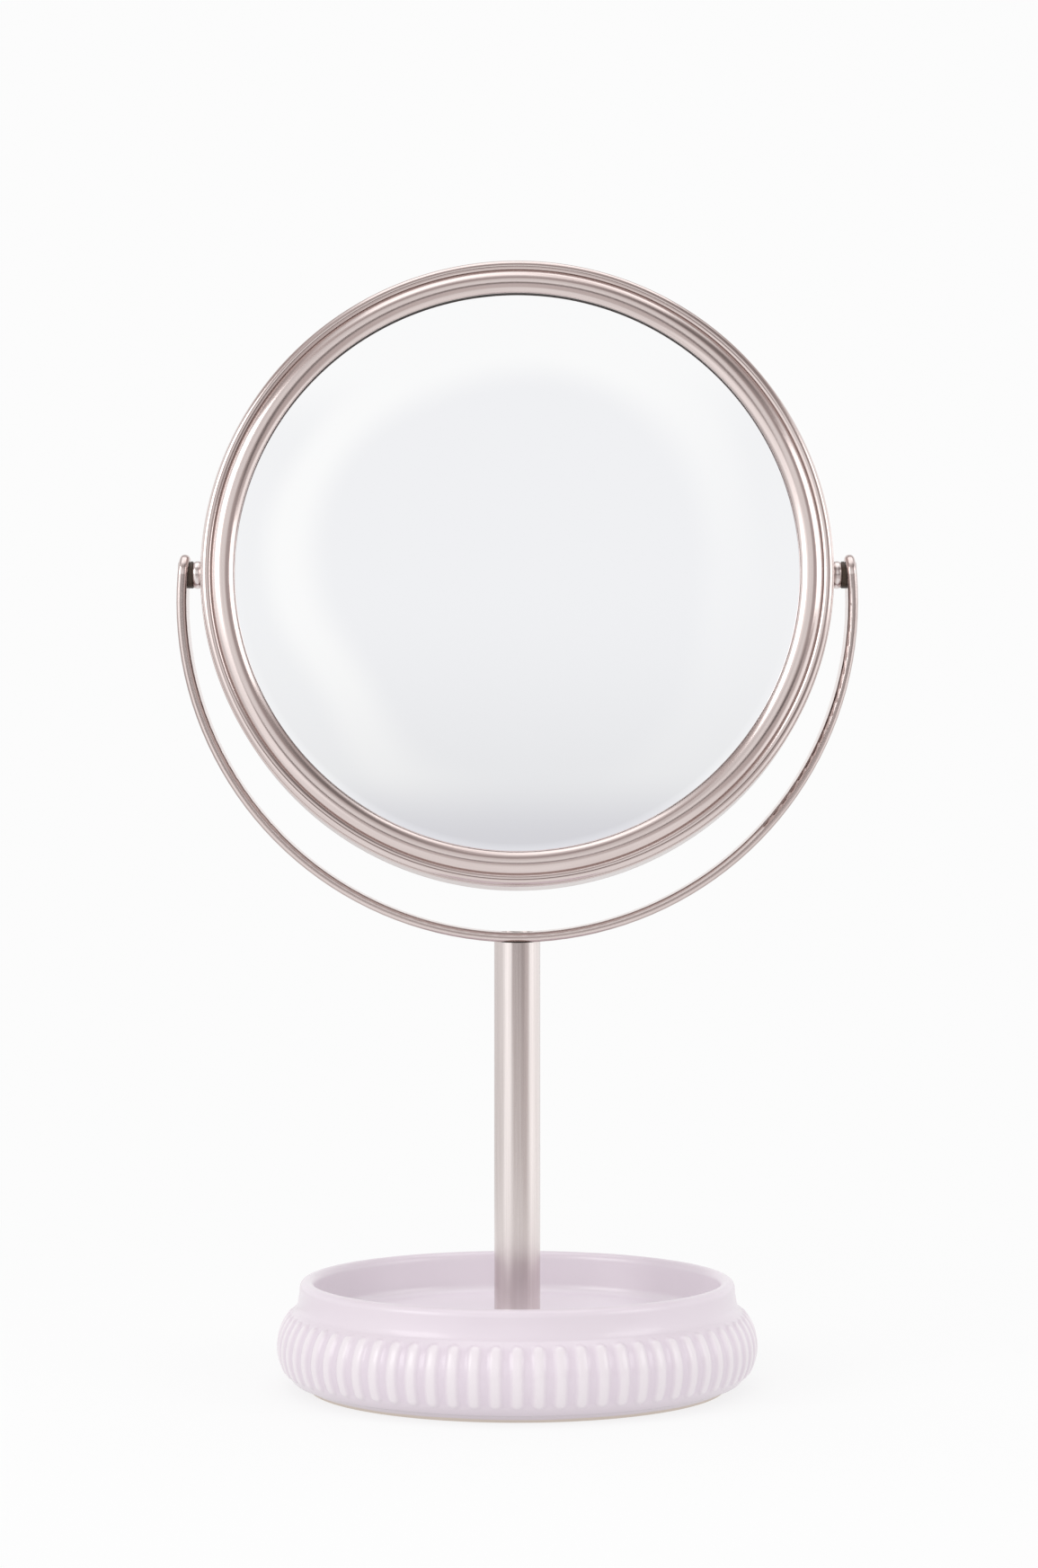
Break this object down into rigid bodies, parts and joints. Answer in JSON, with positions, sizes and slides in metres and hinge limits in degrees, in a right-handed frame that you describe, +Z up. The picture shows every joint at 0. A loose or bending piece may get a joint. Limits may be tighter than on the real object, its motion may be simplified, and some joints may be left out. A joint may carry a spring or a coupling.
{
  "type": "vanity mirror",
  "caption": "Double-sided round vanity mirror that turns on side pivots in a U-shaped yoke, on a tube post standing in a ribbed glazed ceramic tray.",
  "frame": {"origin": "middle of the tray's foot, on the surface that the mirror stands on", "axes": "+Z up along the post; +X to the right along the pivot axis as seen from the front; the magnifying side of the head faces -Y"},
  "size_m": [0.1918, 0.1356, 0.3183],
  "materials": {
    "glazed_tray": "glossy pale lilac glaze, cream on the rib crests, bare on the foot",
    "satin_nickel": "fine brushed nickel with a slight rose tint",
    "mirror_glass": "silvered glass",
    "screw_steel": "nickel-plated screw",
    "zinc_steel": "zinc-plated steel",
    "brass": "turned brass",
    "black_rubber": "matte black rubber",
    "black_nylon": "black nylon",
    "white_plastic": "moulded white plastic",
    "foam": "closed-cell foam",
    "felt": "grey felt"
  },
  "bodies": {
    "stand": {"base_tray": "glazed_tray", "base_pad": "felt", "base_rubber_washer": "black_rubber", "base_clamp_washer": "zinc_steel", "base_bolt": "zinc_steel", "post_gasket": "black_rubber", "post_tube": "satin_nickel", "post_bottom_plug": "zinc_steel", "post_top_plug": "zinc_steel", "yoke": "satin_nickel", "yoke_screw": "screw_steel", "pivot_washer_left": "black_nylon", "pivot_washer_right": "black_nylon"},
    "head": {"pivot_spacer_left": "satin_nickel", "pivot_spacer_right": "satin_nickel", "pivot_screw_left": "screw_steel", "pivot_screw_right": "screw_steel", "pivot_insert_left": "brass", "pivot_insert_right": "brass", "rim_band": "satin_nickel", "front_bezel": "satin_nickel", "rear_bezel": "satin_nickel", "front_seal": "black_rubber", "rear_seal": "black_rubber", "magnifying_glass": "mirror_glass", "plain_glass": "mirror_glass", "mirror_carrier": "white_plastic", "front_foam": "foam", "rear_foam": "foam"}
  },
  "joints": [
    {"name": "head_tilt", "type": "hinge", "parent": "stand", "child": "head", "pos_m": [0, 0, 0.2291], "axis": [1, 0, 0], "continuous": true}
  ]
}
